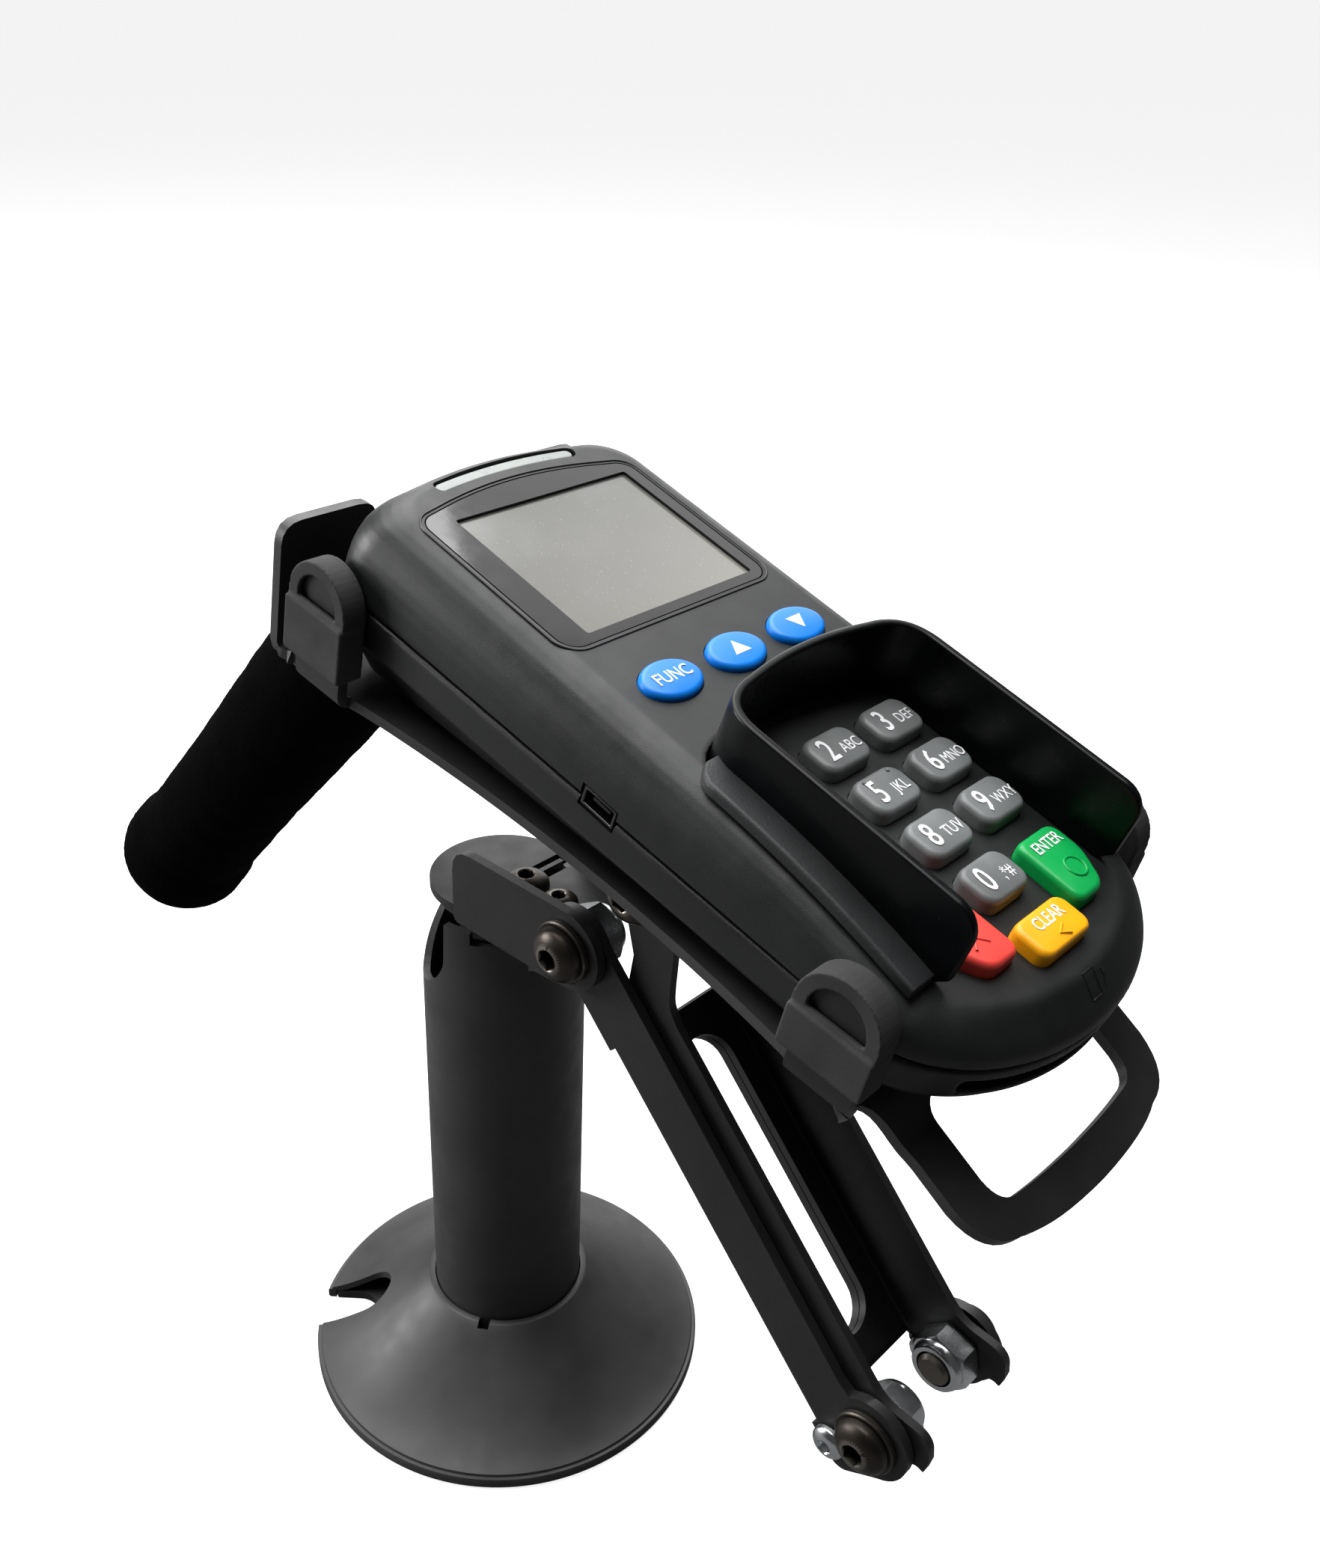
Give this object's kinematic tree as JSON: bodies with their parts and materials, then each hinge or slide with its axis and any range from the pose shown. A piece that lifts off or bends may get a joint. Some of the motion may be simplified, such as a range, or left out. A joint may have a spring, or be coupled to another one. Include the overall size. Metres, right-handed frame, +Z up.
{
  "type": "card payment terminal on a pole stand",
  "caption": "Countertop card payment terminal with shielded keypad, clipped in a steel tray with two handles on a folding arm and swivelling pole stand.",
  "frame": {"origin": "centre of the base's underside, on the pole's axis, on the counter", "axes": "+Z up along the pole; -Y toward the person using the key pad; +X to that person's right"},
  "size_m": [0.1076, 0.3209, 0.2565],
  "materials": {
    "cast_base": "satin black weighted base",
    "stand_plastic": "satin black",
    "powder_steel": "fine-textured black powder coat",
    "bush_plastic": "natural black",
    "black_steel": "black oxide",
    "zinc_steel": "bright zinc plate",
    "case_plastic": "fine spark texture",
    "shield_plastic": "semi-gloss black",
    "reader_plastic": "matt",
    "display_glass": "gloss black window",
    "lcd_face": "warm grey, unlit",
    "light_bar": "translucent white",
    "circuit_board": "green solder mask",
    "port_metal": "nickel plate",
    "key_rubber": "matt silicone",
    "key_grey": "silk, white print",
    "key_blue": "silk, white print",
    "key_red": "silk, embossed cross",
    "key_yellow": "silk, white print",
    "key_green": "silk, white print",
    "sleeve_rubber": "matt dark grey",
    "grip_foam": "closed-cell foam, fuzzy"
  },
  "bodies": {
    "stand": {"base_plate": "cast_base", "base_cover": "stand_plastic", "pole_tube": "powder_steel", "pole_bush": "bush_plastic"},
    "swivel_head": {"swivel_cap": "powder_steel", "retaining_ring": "zinc_steel", "swivel_bracket": "powder_steel", "swivel_screw": "black_steel", "swivel_lock_screw": "black_steel", "shoulder_bolt_right": "black_steel", "shoulder_bolt_left": "black_steel", "shoulder_nut_right": "zinc_steel", "shoulder_nut_left": "zinc_steel"},
    "lower_link": {"lower_arm": "powder_steel", "elbow_bolt_right": "black_steel", "elbow_bolt_left": "black_steel", "elbow_nut_right": "zinc_steel", "elbow_nut_left": "zinc_steel", "stop_screw_right": "zinc_steel", "stop_screw_left": "zinc_steel"},
    "upper_link": {"upper_arm": "powder_steel"},
    "holder": {"tray": "powder_steel", "tray_bracket": "powder_steel", "sleeve_front_right": "sleeve_rubber", "sleeve_front_left": "sleeve_rubber", "sleeve_rear_right": "sleeve_rubber", "sleeve_rear_left": "sleeve_rubber", "grip_rod": "black_steel", "grip_nut": "zinc_steel", "foam_grip": "grip_foam", "tilt_bolt_right": "black_steel", "tilt_bolt_left": "black_steel", "tilt_nut_right": "zinc_steel", "tilt_nut_left": "zinc_steel", "upper_case": "case_plastic", "lower_case": "case_plastic", "display_lens": "display_glass", "lcd_panel": "lcd_face", "light_bar": "light_bar", "privacy_shield": "shield_plastic", "key_mat": "key_rubber", "main_board": "circuit_board", "card_reader": "reader_plastic", "usb_port": "port_metal"},
    "key_1": {"key_1": "key_grey"},
    "key_2": {"key_2": "key_grey"},
    "key_3": {"key_3": "key_grey"},
    "key_4": {"key_4": "key_grey"},
    "key_5": {"key_5": "key_grey"},
    "key_6": {"key_6": "key_grey"},
    "key_7": {"key_7": "key_grey"},
    "key_8": {"key_8": "key_grey"},
    "key_9": {"key_9": "key_grey"},
    "key_0": {"key_0": "key_grey"},
    "key_clear": {"key_clear": "key_yellow"},
    "key_cancel": {"key_cancel": "key_red"},
    "key_enter": {"key_enter": "key_green"},
    "key_func": {"key_func": "key_blue"},
    "key_up": {"key_up": "key_blue"},
    "key_down": {"key_down": "key_blue"}
  },
  "joints": [
    {"name": "swivel", "type": "hinge", "parent": "stand", "child": "swivel_head", "pos_m": [0, 0, 0.15], "axis": [0, 0, 1], "range_deg": [-165, 165]},
    {"name": "shoulder", "type": "hinge", "parent": "swivel_head", "child": "lower_link", "pos_m": [0, -0.0425, 0.164], "axis": [-1, 0, 0], "range_deg": [-30, 20]},
    {"name": "elbow", "type": "hinge", "parent": "lower_link", "child": "upper_link", "pos_m": [0, -0.12917, 0.0843], "axis": [1, 0, 0], "range_deg": [0, 110]},
    {"name": "tray_tilt", "type": "hinge", "parent": "upper_link", "child": "holder", "pos_m": [0, -0.06005, 0.18602], "axis": [1, 0, 0], "range_deg": [-20, 30]},
    {"name": "press_key_1", "type": "slide", "parent": "holder", "child": "key_1", "axis": [0, 0.3115, -0.9502], "range_m": [0, 0.001], "stiffness_N_per_m": 1200},
    {"name": "press_key_2", "type": "slide", "parent": "holder", "child": "key_2", "axis": [0, 0.3115, -0.9502], "range_m": [0, 0.001], "stiffness_N_per_m": 1200},
    {"name": "press_key_3", "type": "slide", "parent": "holder", "child": "key_3", "axis": [0, 0.3115, -0.9502], "range_m": [0, 0.001], "stiffness_N_per_m": 1200},
    {"name": "press_key_4", "type": "slide", "parent": "holder", "child": "key_4", "axis": [0, 0.3115, -0.9502], "range_m": [0, 0.001], "stiffness_N_per_m": 1200},
    {"name": "press_key_5", "type": "slide", "parent": "holder", "child": "key_5", "axis": [0, 0.3115, -0.9502], "range_m": [0, 0.001], "stiffness_N_per_m": 1200},
    {"name": "press_key_6", "type": "slide", "parent": "holder", "child": "key_6", "axis": [0, 0.3115, -0.9502], "range_m": [0, 0.001], "stiffness_N_per_m": 1200},
    {"name": "press_key_7", "type": "slide", "parent": "holder", "child": "key_7", "axis": [0, 0.3115, -0.9502], "range_m": [0, 0.001], "stiffness_N_per_m": 1200},
    {"name": "press_key_8", "type": "slide", "parent": "holder", "child": "key_8", "axis": [0, 0.3115, -0.9502], "range_m": [0, 0.001], "stiffness_N_per_m": 1200},
    {"name": "press_key_9", "type": "slide", "parent": "holder", "child": "key_9", "axis": [0, 0.3115, -0.9502], "range_m": [0, 0.001], "stiffness_N_per_m": 1200},
    {"name": "press_key_0", "type": "slide", "parent": "holder", "child": "key_0", "axis": [0, 0.3115, -0.9502], "range_m": [0, 0.001], "stiffness_N_per_m": 1200},
    {"name": "press_key_clear", "type": "slide", "parent": "holder", "child": "key_clear", "axis": [0, 0.3115, -0.9502], "range_m": [0, 0.001], "stiffness_N_per_m": 1200},
    {"name": "press_key_cancel", "type": "slide", "parent": "holder", "child": "key_cancel", "axis": [0, 0.3115, -0.9502], "range_m": [0, 0.001], "stiffness_N_per_m": 1200},
    {"name": "press_key_enter", "type": "slide", "parent": "holder", "child": "key_enter", "axis": [0, 0.3115, -0.9502], "range_m": [0, 0.001], "stiffness_N_per_m": 1200},
    {"name": "press_key_func", "type": "slide", "parent": "holder", "child": "key_func", "axis": [0, 0.3115, -0.9502], "range_m": [0, 0.001], "stiffness_N_per_m": 1200},
    {"name": "press_key_up", "type": "slide", "parent": "holder", "child": "key_up", "axis": [0, 0.3115, -0.9502], "range_m": [0, 0.001], "stiffness_N_per_m": 1200},
    {"name": "press_key_down", "type": "slide", "parent": "holder", "child": "key_down", "axis": [0, 0.3115, -0.9502], "range_m": [0, 0.001], "stiffness_N_per_m": 1200}
  ]
}
